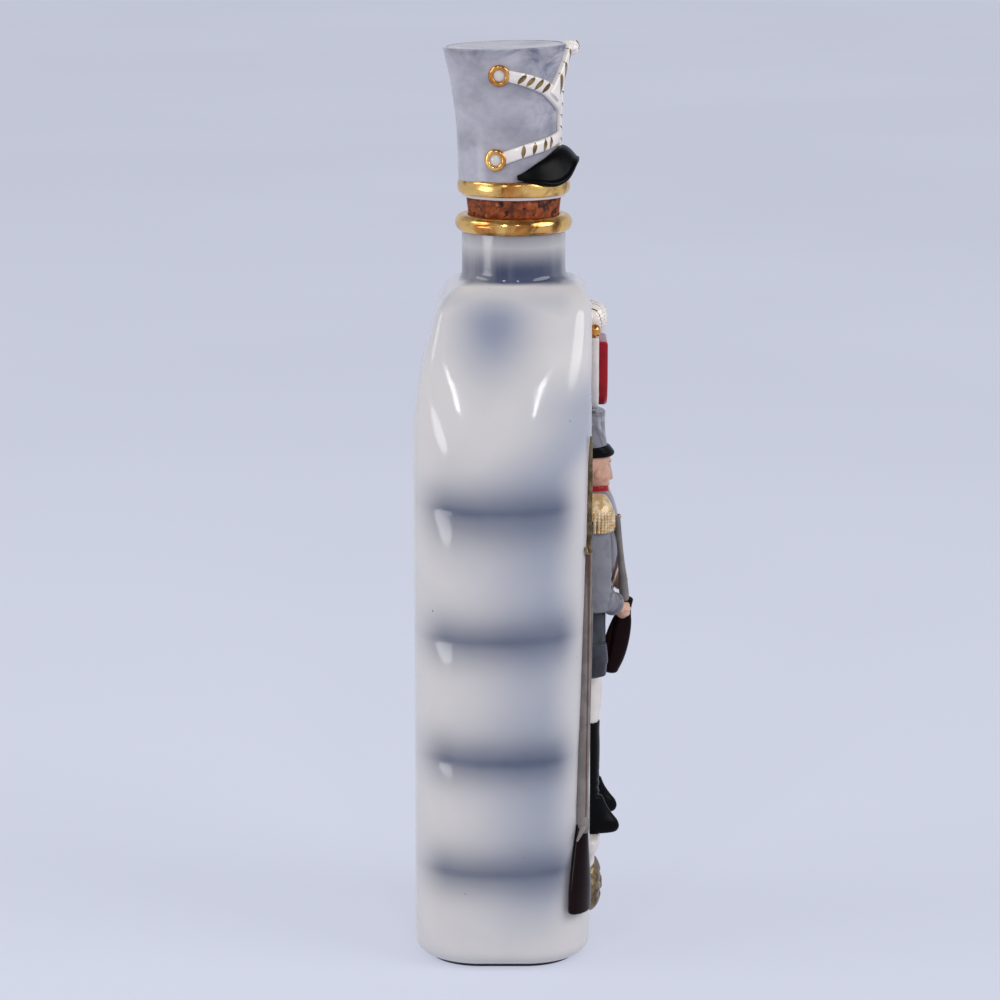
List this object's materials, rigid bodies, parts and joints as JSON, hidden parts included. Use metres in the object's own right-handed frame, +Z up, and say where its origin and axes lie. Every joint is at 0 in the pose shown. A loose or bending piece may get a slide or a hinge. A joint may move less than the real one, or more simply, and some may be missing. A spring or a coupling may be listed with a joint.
{
  "type": "figural liquor decanter",
  "caption": "Flat-sided porcelain decanter with cushioned narrow sides, a soldier and muskets in relief on its front, and a tall cap-shaped stopper on a cork",
  "frame": {"origin": "Middle of the body's footprint, on the underside of the felt pad", "axes": "+Z up, the front with the soldier faces -Y, +X along the width, so the figure's right is -X"},
  "size_m": [0.092, 0.0738, 0.3066],
  "materials": {
    "glazed_porcelain": "white glaze airbrushed with soft blue-grey bands",
    "cap_porcelain": "blue-grey glaze with a gilt ring and a white foot",
    "white_glaze": "plain white glaze with gold strokes",
    "black_glaze": "glossy black enamel",
    "red_glaze": "glossy red enamel",
    "coat_glaze": "blue-grey enamel",
    "skin_glaze": "soft flesh enamel",
    "gilding": "bright and worn gold lustre over glaze",
    "stock_glaze": "dark oxblood brown enamel",
    "steel_glaze": "grey lustre enamel",
    "cork": "red-brown pitted cork",
    "felt": "dark green felt"
  },
  "bodies": {
    "flask": {"flask_body": "glazed_porcelain", "felt_pad": "felt", "plinth": "white_glaze", "gilt_boss": "gilding", "soldier_trousers": "white_glaze", "right_boot": "black_glaze", "left_boot": "black_glaze", "coat_tails": "coat_glaze", "soldier_coat": "coat_glaze", "soldier_head": "skin_glaze", "soldier_shako": "coat_glaze", "soldier_visor": "black_glaze", "soldier_collar": "red_glaze", "epaulettes": "gilding", "waist_belt": "white_glaze", "crossbelts": "white_glaze", "coat_buttons": "gilding", "held_musket_stock": "stock_glaze", "held_musket_barrel": "steel_glaze", "right_hand": "skin_glaze", "left_hand": "skin_glaze", "right_arm": "coat_glaze", "left_arm": "coat_glaze", "cartridge_box": "black_glaze", "shield_frame": "white_glaze", "shield_field": "red_glaze", "shield_finials": "gilding", "shield_plume": "white_glaze", "right_musket_stock": "stock_glaze", "right_musket_lock": "steel_glaze", "right_musket_barrel": "steel_glaze", "right_musket_bayonet": "gilding", "left_musket_stock": "stock_glaze", "left_musket_lock": "steel_glaze", "left_musket_barrel": "steel_glaze", "left_musket_bayonet": "gilding"},
    "stopper": {"stopper_cap": "cap_porcelain", "cap_visor": "black_glaze", "cap_rosettes": "gilding", "cap_plume": "white_glaze", "cap_pompon": "white_glaze", "cap_cords": "white_glaze", "cork": "cork"}
  },
  "joints": [
    {"name": "stopper_lift", "type": "slide", "parent": "flask", "child": "stopper", "axis": [0, 0, 1], "range_m": [0, 0.04]}
  ]
}
